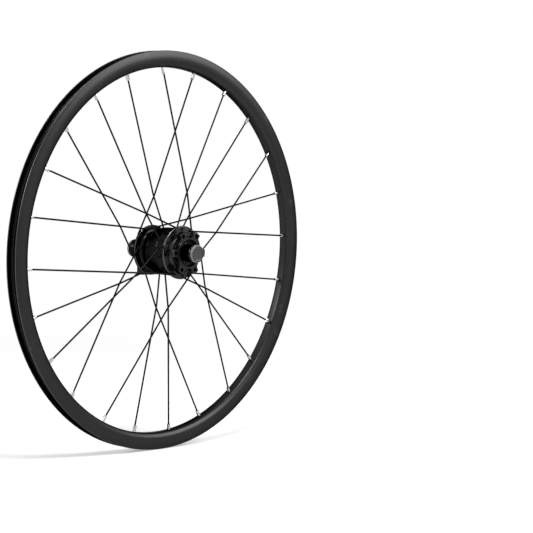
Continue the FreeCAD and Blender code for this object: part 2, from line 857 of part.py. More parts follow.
def generator():
    start = size.stator_start_y
    width = size.stator_width
    iron_inner = drum_bore - size.back_iron_thickness
    keep(hidden_ring("back_iron_ring", iron_inner, drum_bore, start, width))
    keep(made("magnets", Part.makeCompound(magnet_blocks(float(iron_inner)))))

    plate = size.claw_thickness
    keep(claw_plate("disc_side_claw_poles", start, start + plate, 1, 0.0))
    keep(claw_plate("lamp_side_claw_poles", stator_end - plate, stator_end - plate, -1, 0.5))
    core_start, core_width = start + plate, width - plate * 2
    keep(hidden_ring("generator_core", axle_flat, size.core_radius, core_start, core_width))

    wall = size.bobbin_wall
    hub = (size.core_radius + size.press_gap) * inscribed
    floor = hub + wall
    keep(
        fused(
            "coil_bobbin",
            [
                hidden_ring("bobbin_floor", hub, floor / inscribed, core_start, core_width),
                hidden_ring("bobbin_disc_cheek", hub, size.coil_radius, core_start, wall),
                hidden_ring(
                    "bobbin_lamp_cheek", hub, size.coil_radius, core_start + core_width - wall, wall
                ),
            ],
        )
    )
    keep(
        hidden_ring(
            "coil_winding",
            floor + size.press_gap,
            size.coil_radius - wall,
            core_start + wall,
            core_width - wall * 2,
        )
    )
    lock_width = size.lock_ring_width
    keep(hidden_ring("generator_lock_ring", axle_flat, size.core_radius, stator_end, lock_width))


def magnet_inner_flat(iron_inner):
    corner = iron_inner - float(size.press_gap)
    half = corner * math.tan(math.pi / pole_count) * magnet_fill
    flat = math.sqrt(corner * corner - half * half)
    return flat - float(size.magnet_thickness), flat, half


def magnet_blocks(iron_inner):
    inner, outer, half = magnet_inner_flat(iron_inner)
    start = float(size.stator_start_y)
    blocks = []
    for number in range(pole_count):
        block = Part.makeBox(
            half * 2 * magnet_fill, float(size.stator_width), outer - inner,
            Vec(-half * magnet_fill, start, inner),
        )
        block.rotate(Vec(0, 0, 0), Vec(0, 1, 0), 360 / pole_count * number)
        blocks.append(block)
    return blocks


def claw_plate(name, plate_start, finger_base, way, turn):
    iron_inner = float(drum_bore - size.back_iron_thickness)
    reach = magnet_inner_flat(iron_inner)[0] - float(size.running_gap)
    half = float(size.claw_width) / 2
    top = math.sqrt(reach * reach - half * half)
    thickness = float(size.claw_thickness)
    ring = hidden_ring(
        f"{name}_plate", axle_flat, Length(f"{top:.9f}", top), plate_start, size.claw_thickness
    )
    length = float(size.stator_width) - thickness * 2
    first = float(finger_base) if way > 0 else float(finger_base) - length
    fingers = []
    for number in range(pole_count // 2):
        finger = Part.makeBox(
            half * 2, length + thickness, thickness,
            Vec(-half, first - (thickness if way > 0 else 0), top - thickness),
        )
        finger.rotate(Vec(0, 0, 0), Vec(0, 1, 0), 720 / pole_count * (number + turn))
        fingers.append(finger)
    tips = made(f"{name}_fingers", Part.makeCompound(fingers))
    return fused(name, [ring, tips])


# Cover plate, connector and leads

def cover_plate():
    edge = size.cover_thickness / 5
    solid = turned(
        "cover_plate_solid",
        [
            (0, cover_start),
            (size.cover_radius, cover_start),
            (size.cover_radius, cover_end - edge),
            (size.cover_radius - edge, cover_end),
            (0, cover_end),
        ],
    )
    bore = prism("cover_plate_bore", axle_seat, cover_start, size.cover_thickness)
    keep(cut("generator_cover_plate", solid, bore))


def connector():
    half = size.connector_width / 2
    wall = size.connector_wall
    neck_half = size.connector_neck_width / 2
    back = cover_end + size.connector_depth
    roof = size.socket_depth - size.connector_bottom
    housing = box(
        "connector_housing", (-half, cover_end, -size.connector_bottom), (half, back, -size.connector_top)
    )
    neck = box(
        "connector_neck",
        (-neck_half, cover_end, -size.connector_top),
        (neck_half, saddle_end, -size.connector_neck_top),
    )
    socket = box(
        "connector_socket",
        (wall - half, cover_end + wall, -size.connector_bottom - wall),
        (half - wall, back - wall, roof),
    )
    seat = doc.addObject("Part::Cylinder", "connector_saddle")
    seat.setExpression("Radius", axle_seat.text)
    seat.setExpression("Height", (saddle_end + wall).text)
    seat.Placement = FreeCAD.Placement(Vec(0, 0, 0), to_axis)
    slot_half = size.lead_spacing / 2 + size.lead_radius + size.press_gap * 5
    lead_slot = box(
        "lead_slot",
        (-slot_half, lead_down_y - size.lead_radius * slot_room, roof - wall),
        (slot_half, lead_down_y + size.lead_radius + size.press_gap * 2, wall - size.connector_neck_top),
    )
    tools = fused("connector_hollows", [socket, seat, lead_slot])
    keep(cut("lamp_connector", fused("connector_solid", [housing, neck]), tools))


def terminals():
    half = size.terminal_thickness / 2
    roof = size.socket_depth - size.connector_bottom
    inner = size.lead_spacing / 2 - size.lead_radius
    blades = []
    for side, low, high in (
        ("left", -inner - size.terminal_width, -inner),
        ("right", inner, inner + size.terminal_width),
    ):
        blades.append(
            box(
                f"{side}_blade",
                (low, lead_down_y - half, size.connector_wall - size.connector_bottom),
                (high, lead_down_y + half, roof),
            )
        )
    blade_pair = doc.addObject("Part::Compound", "connector_terminals")
    blade_pair.Links = blades
    keep(blade_pair)


def leads():
    radius = float(size.lead_radius)
    floor = float(size.lead_groove_depth - size.axle_radius - size.press_gap * 2) - radius
    bend = radius * lead_bend
    start_y = float(stator_end + size.lock_ring_width) + bend
    down_y = float(lead_down_y)
    roof = float(size.socket_depth - size.connector_bottom)
    rods = []
    for side in (1, -1):
        x = side * float(size.lead_spacing) / 2
        route = [
            Vec(x, start_y, -float(size.core_radius) + radius),
            Vec(x, start_y, floor - bend),
            Vec(x, start_y + bend, floor),
            Vec(x, down_y - bend, floor),
            Vec(x, down_y, floor - bend),
            Vec(x, down_y, roof),
        ]
        rods.append(bent_bar(route, radius, rod_sides))
    keep(made("coil_leads", Part.makeCompound(rods)))


def build():
    rim()
    spokes_and_nipples()
    disc_side_shell()
    lamp_side_shell()
    axle()
    end_caps()
    dust_plug("disc_side_dust_plug", -1)
    dust_plug("lamp_side_dust_plug", 1)
    bearing("disc_side", size.disc_bearing_y, -1)
    bearing("lamp_side", size.lamp_bearing_y, 1)
    seals()
    generator()
    cover_plate()
    connector()
    terminals()
    leads()


def write():
    doc.recompute()
    for piece in doc.Objects:
        if "Invalid" in piece.State or "Error" in piece.State:
            raise RuntimeError(f"{piece.Label} did not compute: {piece.State}")
    for piece in parts:
        shape = piece.Shape
        if shape.isNull() or not shape.isValid() or shape.Volume <= 0:
            raise RuntimeError(f"{piece.Label} has no valid shape")
    os.makedirs("parts", exist_ok=True)
    for piece in parts:
        piece.Shape.exportStep(f"parts/{piece.Label}.step")
        print(f"{piece.Label}: {len(piece.Shape.Solids)} solids, {piece.Shape.Volume:.1f} mm3")


build()
write()
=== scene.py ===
import math
import bmesh
import bpy
from mathutils import Matrix, Vector


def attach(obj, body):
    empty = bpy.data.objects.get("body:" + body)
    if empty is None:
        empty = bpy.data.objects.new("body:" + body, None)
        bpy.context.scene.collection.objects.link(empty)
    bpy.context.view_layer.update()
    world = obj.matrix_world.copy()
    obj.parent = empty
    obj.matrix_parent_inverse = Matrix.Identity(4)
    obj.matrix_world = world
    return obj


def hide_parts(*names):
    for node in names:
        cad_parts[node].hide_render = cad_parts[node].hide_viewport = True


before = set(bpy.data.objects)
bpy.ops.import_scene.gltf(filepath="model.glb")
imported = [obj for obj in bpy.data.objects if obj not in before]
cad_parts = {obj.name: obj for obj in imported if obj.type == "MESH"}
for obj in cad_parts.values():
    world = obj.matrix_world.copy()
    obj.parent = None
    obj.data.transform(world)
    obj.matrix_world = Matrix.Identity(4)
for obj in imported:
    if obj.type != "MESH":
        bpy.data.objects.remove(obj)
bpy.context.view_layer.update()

mm = 0.001
scene = bpy.context.scene


# Material helpers: a value is a socket that can be used in sums

class Value:
    def __init__(self, finish, socket):
        self.finish = finish
        self.socket = socket

    def sum(self, operation, left, right):
        return self.finish.node("Math", {"operation": operation}, {0: left, 1: right})[0]

    def __add__(self, other):
        return self.sum("ADD", self, other)

    def __radd__(self, other):
        return self.sum("ADD", other, self)

    def __sub__(self, other):
        return self.sum("SUBTRACT", self, other)

    def __rsub__(self, other):
        return self.sum("SUBTRACT", other, self)

    def __mul__(self, other):
        return self.sum("MULTIPLY", self, other)

    def __rmul__(self, other):
        return self.sum("MULTIPLY", other, self)


class Outputs:
    def __init__(self, finish, made):
        self.finish = finish
        self.made = made

    def __getitem__(self, name):
        return Value(self.finish, self.made.outputs[name])


class Finish:
    def __init__(self, owner):
        owner.use_nodes = True
        self.owner = owner
        self.tree = owner.node_tree
        self.tree.nodes.clear()

    def node(self, kind, settings, inputs):
        made = self.tree.nodes.new("ShaderNode" + kind)
        for name, setting in settings.items():
            setattr(made, name, setting)
        for name, given in inputs.items():
            if isinstance(given, Value):
                self.tree.links.new(given.socket, made.inputs[name])
            else:
                made.inputs[name].default_value = given
        return Outputs(self, made)

    @property
    def place(self):
        return self.node("TexCoord", {}, {})["Object"]

    def length(self, vector):
        return self.node("VectorMath", {"operation": "LENGTH"}, {0: vector})["Value"]

    # Distance from the wheel's axis, in millimetres
    def radius(self):
        inputs = {0: self.place, 1: (1 / mm, 0, 1 / mm)}
        return self.length(self.node("VectorMath", {"operation": "MULTIPLY"}, inputs)[0])

    # Place along the axle, in millimetres
    def along(self):
        return self.node("SeparateXYZ", {}, {0: self.place})["Y"] * (1 / mm)

    def noise(self, scale, detail=3.0, roughness=0.55):
        inputs = {"Vector": self.place, "Scale": scale, "Detail": detail, "Roughness": roughness}
        return self.node("TexNoise", {}, inputs)[0]

    def ramp(self, value, low, high, start=0.0, end=1.0):
        inputs = {"Value": value, "From Min": low, "From Max": high, "To Min": start, "To Max": end}
        return self.node("MapRange", {"interpolation_type": "SMOOTHSTEP"}, inputs)[0]

    def blend(self, amount, first, second):
        return self.node("Mix", {"data_type": "RGBA"}, {"Factor": amount, 6: first, 7: second})[2]

    def bump(self, height, strength, distance):
        inputs = {"Height": height, "Strength": strength, "Distance": distance}
        return self.node("Bump", {}, inputs)["Normal"]

    # 1 for the camera and for what a reflection or a clear piece shows, 0 for light on the object
    def seen(self):
        path = self.node("LightPath", {}, {})
        most = path["Is Camera Ray"]
        for name in ("Is Glossy Ray", "Is Transmission Ray"):
            most = self.node("Math", {"operation": "MAXIMUM"}, {0: most, 1: path[name]})[0]
        return most


# The noise settings that all finishes share for their wear and their painted highlight lines; detail
# is a noise's detail and roughness
sharedMarkNoise = {
    "cloudDetail": (4.0, 0.6), "scuffDetail": (6.0, 0.7), "scuffFrom": 0.60, "scuffFull": 0.74,
    "patchScale": 4, "patchDetail": (4.0, 0.65), "patchShare": 0.6, "cornerFade": 0.1,
}


# Marks, from 0 to 1: scuffs, which are wear, and the outer corners at the radii in "edges" and at the
# places along the axle in "corners", broken up by small patches; these corner lines are partly rubbed
# edges, partly painted highlights
def rubbedAndHighlitPlaces(finish, look, scuff):
    rubbedAndLit = scuff * look["scuffTint"]
    if not look["edges"] and not look["corners"]:
        return rubbedAndLit
    patches = finish.noise(look["scuff"] * sharedMarkNoise["patchScale"], *sharedMarkNoise["patchDetail"])
    patches = patches * sharedMarkNoise["patchShare"] + (1 - sharedMarkNoise["patchShare"])
    for edge, width in look["edges"]:
        nearEdge = finish.ramp(finish.radius(), edge - width, edge, 0.0, look["edgeTint"])
        rubbedAndLit = rubbedAndLit + nearEdge * patches
    fade = sharedMarkNoise["cornerFade"]
    for low, high in look["corners"]:
        past = finish.ramp(finish.along(), low, low + fade)
        beyond = finish.ramp(finish.along(), high - fade, high)
        rubbedAndLit = rubbedAndLit + (past - beyond) * patches * look["edgeTint"]
    return rubbedAndLit


# One function for all finishes: cloudiness, scuffs, rubbed corners with painted highlight lines, a
# satin part and fine grain
def markedFinish(name, look):
    finish = Finish(bpy.data.materials.new(name))
    cloud = finish.noise(look["cloud"], *sharedMarkNoise["cloudDetail"])
    scuff = finish.noise(look["scuff"], *sharedMarkNoise["scuffDetail"])
    scuff = finish.ramp(scuff, sharedMarkNoise["scuffFrom"], sharedMarkNoise["scuffFull"])
    tint = finish.blend(cloud, (*look["dark"], 1), (*look["light"], 1))
    rough = look["rough"] + (cloud - 0.5) * look["roughSpread"] + scuff * look["scuffRough"]
    satin = look["satin"]
    if satin:
        there = finish.ramp(finish.along(), *satin["between"], 1.0, 0.0)
        tint = finish.blend(there, tint, (*satin["colour"], 1))
        rough = rough + there * satin["rough"]
    inputs = {
        "Base Color": finish.blend(rubbedAndHighlitPlaces(finish, look, scuff), tint, (*look["worn"], 1)),
        "Roughness": rough, "Metallic": look["metallic"], "Specular IOR Level": look["shine"],
        "Specular Tint": (*look["grazing"], 1),
        "Normal": finish.bump(finish.noise(look["grain"]), look["bump"], look["depth"]),
    }
    shader = finish.node("BsdfPrincipled", {}, inputs)[0]
    finish.node("OutputMaterial", {}, {"Surface": shader})
    return finish.owner


blackPaint = {
    "dark": (0.006, 0.006, 0.0065), "light": (0.012, 0.012, 0.013), "worn": (0.07, 0.07, 0.07),
    "cloud": 14.0, "scuff": 55.0, "scuffTint": 0.25, "scuffRough": 0.12, "edges": (), "corners": (),
    "edgeTint": 0.7, "rough": 0.34, "roughSpread": 0.12, "metallic": 0.0, "shine": 0.13,
    "grazing": (1.0, 1.0, 1.0), "grain": 1800.0, "bump": 0.12, "depth": 0.0001, "satin": None,
}
# Hard glossy black, kept dark under the white room by a dark grazing colour
deepGloss = {
    **blackPaint, "dark": (0.008, 0.008, 0.0085), "light": (0.014, 0.014, 0.0145), "metallic": 1.0,
    "grazing": (0.12, 0.12, 0.12),
}
brightMetal = {
    **blackPaint, "dark": (0.50, 0.50, 0.51), "light": (0.64, 0.64, 0.64),
    "worn": (0.40, 0.40, 0.39), "shine": 0.5, "rough": 0.28, "metallic": 1.0, "bump": 0.05,
}
looks = {
    "rim": {
        **blackPaint, "dark": (0.023, 0.023, 0.0235), "light": (0.033, 0.033, 0.0335),
        "worn": (0.12, 0.12, 0.12), "metallic": 1.0, "grazing": (0.3, 0.3, 0.3), "rough": 0.33,
        # The lighter line at the outer lip edge, radius 232 mm, is partly a rubbed edge and partly a
        # painted highlight
        "roughSpread": 0.05, "bump": 0.06, "edges": ((232.0, 0.7),), "edgeTint": 0.9,
    },
    "spoke": {**deepGloss, "grazing": (0.2, 0.2, 0.2), "rough": 0.28},
    "shell": {
        **deepGloss, "worn": (0.26, 0.26, 0.26), "rough": 0.12, "roughSpread": 0.06, "bump": 0.04,
        "scuffTint": 0.12,
        # Lighter lines along the mount's face edge and both flanges' edges: partly rubbed corners,
        # partly painted highlight lines
        "corners": (
            (-39.48, -39.02), (-27.9, -27.4), (-25.6, -25.1), (20.1, 20.6), (22.4, 22.9),
        ),
        "satin": {"between": (-25.6, -25.0), "colour": (0.034, 0.034, 0.035), "rough": 0.2},
    },
    "cap": {**deepGloss, "rough": 0.20, "bump": 0.05, "edges": ((10.9, 0.4),)},
    "nipple": {
        **brightMetal, "dark": (0.42, 0.42, 0.42), "light": (0.56, 0.56, 0.55), "rough": 0.16,
        "grazing": (0.0, 0.0, 0.0),
    },
    "plug": {
        **blackPaint, "dark": (0.016, 0.016, 0.017), "light": (0.034, 0.034, 0.035),
        "worn": (0.5, 0.5, 0.5), "shine": 0.4, "scuffTint": 0.06, "bump": 0.25, "cloud": 120.0,
        # The pale ring on the chamfer at the plug's edge is a painted highlight; only the faint
        # scuffs are wear
        "edges": ((10.0, 0.8),),
    },
    "cover": {
        **brightMetal, "dark": (0.26, 0.255, 0.25), "light": (0.34, 0.335, 0.33),
        "worn": (0.45, 0.45, 0.44), "rough": 0.42, "bump": 0.2, "edges": ((23.0, 0.8),),
    },
    "connector": {**blackPaint, "rough": 0.48, "bump": 0.35},
    "seal": {**blackPaint, "rough": 0.62, "bump": 0.4},
    "steel": brightMetal,
    "iron": {
        **brightMetal, "dark": (0.20, 0.20, 0.21), "light": (0.30, 0.30, 0.31), "rough": 0.45,
        "bump": 0.2,
    },
    "magnet": {
        **brightMetal, "dark": (0.30, 0.30, 0.30), "light": (0.40, 0.40, 0.39), "rough": 0.35,
    },
    "bobbin": {
        **blackPaint, "dark": (0.60, 0.57, 0.48), "light": (0.68, 0.65, 0.56),
        "worn": (0.5, 0.47, 0.4), "shine": 0.5,
    },
    "copper": {
        **brightMetal, "dark": (0.45, 0.17, 0.07), "light": (0.58, 0.24, 0.10),
        "worn": (0.3, 0.12, 0.06),
    },
    "axle": {**brightMetal, "rough": 0.34},
}
finishes = {name: markedFinish(name, look) for name, look in looks.items()}
print("finishes:", len(finishes))


# Mesh helpers: sizes in millimetres, turned pieces about the wheel's axis

cutPast = 1.0  # how far a cutting shape stands past the face it cuts


def placed(spot):
    return Vector(spot) * mm


def onWheel(radius, angle, y):
    turn = math.radians(angle)
    return Vector((radius * math.sin(turn), y, radius * math.cos(turn)))


# Joins doubles, turns faces outwards and keeps corners above the angle sharp
def merged(bm, sharpAngle=35.0, within=0.002):
    bmesh.ops.remove_doubles(bm, verts=bm.verts, dist=within * mm)
    bmesh.ops.recalc_face_normals(bm, faces=bm.faces)
    for face in bm.faces:
        face.smooth = True
    for edge in bm.edges:
        if len(edge.link_faces) == 2 and edge.calc_face_angle(0.0) > math.radians(sharpAngle):
            edge.smooth = False


def drawn(name, bm, finish):
    mesh = bpy.data.meshes.new(name)
    bm.to_mesh(mesh)
    bm.free()
    mesh.materials.append(finishes[finish])
    made = bpy.data.objects.new(name, mesh)
    scene.collection.objects.link(made)
    return made


# With a body and a node, the piece rides on the one and stands for the other
def piece(name, bm, finish, body=None, node=None):
    merged(bm)
    made = drawn(name, bm, finish)
    if body:
        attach(made, body)
        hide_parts(node)
    return made


def bevelled(bm, geom, width, segments, affect):
    return bmesh.ops.bevel(
        bm, geom=geom, offset=width * mm, offset_type="OFFSET", segments=segments, profile=0.5,
        affect=affect, clamp_overlap=True, material=-1,
    )["verts"]


def rounded(points, roundings):
    return [(*point, rounding) for point, rounding in zip(points, roundings)]


# Corners are (radius, y, rounding); a closed outline makes a ring, one that meets the axis a solid
def turned(corners, steps=192, roundingSteps=5, onAxisWithin=0.0001):
    bm = bmesh.new()
    spots = [bm.verts.new((radius * mm, y * mm, 0)) for radius, y, rounding in corners]
    bm.faces.new(spots)
    for rounding in sorted({corner[2] for corner in corners if corner[2]}):
        chosen = [spot for spot, corner in zip(spots, corners) if corner[2] == rounding]
        bevelled(bm, chosen, rounding, roundingSteps, "VERTICES")
    bmesh.ops.delete(bm, geom=bm.faces[:], context="FACES_ONLY")
    reach = onAxisWithin * mm
    onAxis = [edge for edge in bm.edges if all(abs(vert.co.x) < reach for vert in edge.verts)]
    bmesh.ops.delete(bm, geom=onAxis, context="EDGES")
    bmesh.ops.spin(
        bm, geom=bm.verts[:] + bm.edges[:], cent=(0, 0, 0), axis=(0, 1, 0), angle=math.tau,
        steps=steps, use_merge=True,
    )
    return bm


def roundBar(bm, start, end, radius, sides, endRadius=None):
    start, end = placed(start), placed(end)
    along = end - start
    turn = along.to_track_quat("Z", "Y").to_matrix().to_4x4()
    bmesh.ops.create_cone(
        bm, cap_ends=True, segments=sides, radius1=radius * mm,
        radius2=(radius if endRadius is None else endRadius) * mm, depth=along.length,
        matrix=Matrix.Translation((start + end) / 2) @ turn,
    )


def block(bm, low, high, turn=0.0):
    low, high = placed(low), placed(high)
    matrix = Matrix.Rotation(math.radians(turn), 4, "Y")
    matrix = matrix @ Matrix.Translation((low + high) / 2) @ Matrix.Diagonal((*(high - low), 1))
    return bmesh.ops.create_cube(bm, size=1, matrix=matrix)["verts"]


# Applies a piece's modifiers and leaves a plain mesh
def settle(made):
    shown = made.evaluated_get(bpy.context.evaluated_depsgraph_get())
    mesh = bpy.data.meshes.new_from_object(shown)
    made.modifiers.clear()
    made.data = mesh
    bm = bmesh.new()
    bm.from_mesh(mesh)
    merged(bm)
    bm.to_mesh(mesh)
    bm.free()


def cutAway(made, cutter):
    tool = drawn("cutter", cutter, "shell")
    cut = made.modifiers.new("cut", "BOOLEAN")
    cut.operation = "DIFFERENCE"
    cut.solver = "EXACT"
    cut.object = tool
    settle(made)
    bpy.data.objects.remove(tool)


def softenEdges(made, width, angle=40.0, segments=2):
    soft = made.modifiers.new("soft edges", "BEVEL")
    soft.width = width * mm
    soft.segments = segments
    soft.limit_method = "ANGLE"
    soft.angle_limit = math.radians(angle)
    soft.use_clamp_overlap = True
    settle(made)


# Puts the second piece's mesh into the first
def joined(first, second):
    bm = bmesh.new()
    bm.from_mesh(first.data)
    bm.from_mesh(second.data)
    bm.to_mesh(first.data)
    bm.free()
    bpy.data.objects.remove(second)


# Lacing: even rim holes go to the disc side flange, odd ones to the lamp side flange

lacing = {
    "count": 24, "firstAngle": -5.0, "crossings": 2, "rimOffset": 1.0, "seatRadius": 214.4,
    "flangeY": (26.5, 21.5), "holeRadius": (27.25, 26.0), "halfFlange": 1.5, "elbowReach": 2.9,
    "crossingGap": 0.3, "radius": 1.0, "sides": 12, "bend": 2.4, "bendSteps": 7,
    "headRadius": 1.9, "headEndRadius": 1.178, "headHeight": 1.2, "headSides": 20, "overlap": 0.2,
    "nippleBack": 9.2, "nippleReach": 1.5, "holeSize": 1.25, "holeCut": (-0.75, 3.0),
    "sinkDepth": 0.5, "sinkPast": 0.03, "sinkSizes": (1.225, 1.75), "holeSides": 20,
}


# hand is the way a spoke leans as its own side shows it, ahead the same way as an angle
def spokeLine(number):
    onLampSide = number % 2
    side = 1 if onLampSide else -1
    hand = 1 if number // 2 % 2 == 0 else -1
    ahead = -hand if onLampSide else hand
    pitch = 360 / lacing["count"]
    hubPitch = 2 * pitch
    flangeY = lacing["flangeY"][onLampSide]
    hubRadius = lacing["holeRadius"][onLampSide]
    seatRadius = lacing["seatRadius"]
    rimAngle = lacing["firstAngle"] + pitch * number
    hubAngle = rimAngle + ahead * lacing["crossings"] * hubPitch
    span = math.radians(lacing["crossings"] * hubPitch)
    toCross = math.radians((lacing["crossings"] - 0.5) * hubPitch)
    crossRadius = hubRadius * seatRadius * math.sin(span) / (
        hubRadius * math.sin(toCross) + seatRadius * math.sin(span - toCross)
    )
    hole = onWheel(hubRadius, hubAngle, side * flangeY)
    seat = onWheel(seatRadius, rimAngle, side * lacing["rimOffset"])
    cross = onWheel(crossRadius, rimAngle + ahead * hubPitch / 2, 0)
    share = (cross - Vector((hole.x, 0, hole.z))).length / (seat - hole).length
    middle = side * (flangeY * (1 - share) + lacing["rimOffset"] * share)
    weave = side * (lacing["radius"] + lacing["crossingGap"] / 2)
    elbowOutside = ahead < 0
    cross.y = middle - weave if elbowOutside else middle + weave
    away = Vector((0, side if elbowOutside else -side, 0))
    return {
        "side": side, "ahead": ahead, "rimAngle": rimAngle, "hole": hole, "seat": seat,
        "cross": cross, "away": away, "head": hole - away * lacing["halfFlange"],
        "elbow": hole + away * (lacing["halfFlange"] + lacing["elbowReach"]),
        "outward": (seat - cross).normalized(),
    }


spokes = [spokeLine(number) for number in range(lacing["count"])]


# A round rod along a route: the ring is carried from point to point
def roundRod(bm, route, radius, sides):
    along = (route[1] - route[0]).normalized()
    turn = along.to_track_quat("Z", "Y").to_matrix().to_4x4()
    ring = bmesh.ops.create_circle(
        bm, cap_ends=False, segments=sides, radius=radius * mm,
        matrix=Matrix.Translation(placed(route[0])) @ turn,
    )["verts"]
    edges = list({edge for vert in ring for edge in vert.link_edges})
    ends = list(edges)
    for number in range(1, len(route)):
        heading = (route[number] - route[number - 1]).normalized()
        if number + 1 < len(route):
            onward = (route[number + 1] - route[number]).normalized()
            heading = (heading + onward).normalized()
        made = bmesh.ops.extrude_edge_only(bm, edges=edges)["geom"]
        ring = [part for part in made if isinstance(part, bmesh.types.BMVert)]
        edges = [part for part in made if isinstance(part, bmesh.types.BMEdge)]
        carry = along.rotation_difference(heading).to_matrix().to_4x4()
        centre = Matrix.Translation(placed(route[number]))
        matrix = centre @ carry @ Matrix.Translation(-placed(route[number - 1]))
        bmesh.ops.transform(bm, matrix=matrix, verts=ring)
        along = heading
    bmesh.ops.holes_fill(bm, edges=ends + edges, sides=sides)


# From the head through the flange, round the elbow, past the outer crossing into the nipple
def spokeRoute(spoke):
    elbow = spoke["elbow"]
    start = elbow - spoke["away"] * lacing["bend"]
    end = elbow + (spoke["cross"] - elbow).normalized() * lacing["bend"]
    route = [spoke["head"] - spoke["away"] * lacing["overlap"]]
    for step in range(lacing["bendSteps"] + 1):
        t = step / lacing["bendSteps"]
        route.append(start * (1 - t) ** 2 + elbow * (2 * t * (1 - t)) + end * t ** 2)
    threaded = lacing["nippleBack"] - lacing["nippleReach"]
    return route + [spoke["cross"], spoke["seat"] - spoke["outward"] * threaded]


def makeSpokes():
    sets = {
        "disc_side_outer_spokes": (-1, -1), "disc_side_inner_spokes": (-1, 1),
        "lamp_side_outer_spokes": (1, -1), "lamp_side_inner_spokes": (1, 1),
    }
    for node, kind in sets.items():
        bm = bmesh.new()
        for spoke in spokes:
            if (spoke["side"], spoke["ahead"]) == kind:
                roundRod(bm, spokeRoute(spoke), lacing["radius"], lacing["sides"])
                roundBar(
                    bm, spoke["head"], spoke["head"] - spoke["away"] * lacing["headHeight"],
                    lacing["headRadius"], lacing["headSides"], lacing["headEndRadius"],
                )
        piece("round_" + node, bm, "spoke", "wheel", node)
    print("spokes:", len(spokes))


nippleShape = {
    "flats": 3.3, "corner": 0.55, "cornerSteps": 3, "squareLength": 9.5, "collarRadius": 1.95,
    "collarStart": 3.0, "shoulder": 0.3, "length": 12.0, "headRadius": 2.7, "headEndRadius": 2.0,
    "sides": 20,
}


# A square shaft with rounded corners, a round collar in the rim's hole and a cone for a head
def makeNipples():
    half = nippleShape["flats"] / 2
    sides = nippleShape["sides"]
    bm = bmesh.new()
    for spoke in spokes:
        outward = spoke["outward"]
        inner = spoke["seat"] - outward * lacing["nippleBack"]
        verts = block(bm, (-half, -half, 0), (half, half, nippleShape["squareLength"]))
        edges = {edge for vert in verts for edge in vert.link_edges}
        upright = [e for e in edges if abs((e.verts[0].co - e.verts[1].co).z) > mm]
        corners = bevelled(bm, upright, nippleShape["corner"], nippleShape["cornerSteps"], "EDGES")
        solid = set(corners) | {vert for vert in verts if vert.is_valid}
        turn = outward.to_track_quat("Z", "Y").to_matrix().to_4x4()
        matrix = Matrix.Translation(placed(inner)) @ turn
        bmesh.ops.transform(bm, matrix=matrix, verts=list(solid))
        collar = inner + outward * nippleShape["collarStart"]
        shoulder = spoke["seat"] + outward * nippleShape["shoulder"]
        roundBar(bm, collar, shoulder, nippleShape["collarRadius"], sides)
        end = inner + outward * nippleShape["length"]
        roundBar(bm, shoulder, end, nippleShape["headRadius"], sides, nippleShape["headEndRadius"])
    piece("bright_nipples", bm, "nipple", "wheel", "spoke_nipples")
    print("nipples:", lacing["count"])


# Rim: half of its section, from the ring's inner edge to the tyre channel; holes are cut by radius

rimShape = {
    "half": [
        (212.6, 3.6, 1.0), (213.4, 6.0, 1.2), (216.8, 8.3, 2.0), (222.0, 9.0, 2.4),
        (227.5, 8.6, 2.2), (231.92, 7.5, 0.5), (231.92, 6.2, 0.4), (225.5, 6.9, 0.4),
        (225.5, 4.5, 0.7), (221.7, 3.5, 0.7),
    ],
    "steps": 360, "accessRadius": 3.2, "accessCut": (214.4, 226.4), "valveRadius": 3.25,
    "valveAngle": 197.5, "valveCut": (206.0, 230.0), "holeSides": 28,
}


def makeRim():
    half = rimShape["half"]
    other = [(radius, -y, rounding) for radius, y, rounding in reversed(half)]
    rim = piece("rimSmooth", turned(half + other, rimShape["steps"]), "rim", "wheel", "rim")
    holes = [(spoke["rimAngle"], rimShape["accessRadius"], rimShape["accessCut"]) for spoke in spokes]
    holes.append((rimShape["valveAngle"], rimShape["valveRadius"], rimShape["valveCut"]))
    cutter = bmesh.new()
    for angle, radius, (low, high) in holes:
        low, high = onWheel(low, angle, 0), onWheel(high, angle, 0)
        roundBar(cutter, low, high, radius, rimShape["holeSides"])
    cutAway(rim, cutter)
    print("rim:", len(rim.data.polygons), "faces")


# Hub shell: the disc side with its lobed mount, and the lamp side with its notched ridge

def spokeHoles(side):
    faceY = lacing["halfFlange"]
    cuts = (
        (lacing["holeCut"], (lacing["holeSize"], lacing["holeSize"])),
        ((faceY - lacing["sinkDepth"], faceY + lacing["sinkPast"]), lacing["sinkSizes"]),
    )
    cutter = bmesh.new()
    for hole in [spoke["hole"] for spoke in spokes if spoke["side"] == side]:
        for way in (-1, 1):
            for span, (size, endSize) in cuts:
                start, end = (hole + Vector((0, way * y, 0)) for y in span)
                roundBar(cutter, start, end, size, lacing["holeSides"], endSize)
    return cutter


discShell = {
    "corners": [
        (16.05, -34.0, 0.2), (19.0, -34.0, 0.2), (19.0, -28.0, 4.0), (31.0, -28.0, 0.9),
        (31.0, -25.0, 0.9), (21.5, -25.0, 2.2), (28.0, -13.0, 1.2), (28.0, -1.5, 0.4),
        (27.2, -1.5, 0.12), (27.2, 3.0, 0.12), (25.9, 3.0, 0.2), (25.9, -14.0, 0.4),
        (17.5, -24.0, 0.4), (16.05, -26.0, 0.2),
    ],
    "edge": 0.25, "edgeAngle": 55.0,
}
mountShape = {
    "radius": 26.0, "y": (-39.5, -32.5), "sides": 192, "bore": 16.05, "boreSides": 128, "lobes": 6,
    "scallop": 9.5, "scallopCentre": 27.0, "scallopSides": 64, "boltCircle": 22.0,
    "boltRadius": 2.5, "boltSides": 32, "lobeRounding": 3.3, "lobeSteps": 7, "lobeAngle": 40.0,
    "near": 0.01, "edge": 0.45,
}


# The sharp upright edges that the scallops leave on the mount's outside
def isLobeCorner(edge):
    first, second = (vert.co / mm for vert in edge.verts)
    low, high = mountShape["y"]
    upright = abs(abs(first.y - second.y) - (high - low)) < mountShape["near"]
    outside = abs(math.hypot(first.x, first.z) - mountShape["radius"]) < mountShape["near"]
    sharp = edge.calc_face_angle(0.0) > math.radians(mountShape["lobeAngle"])
    return upright and outside and sharp


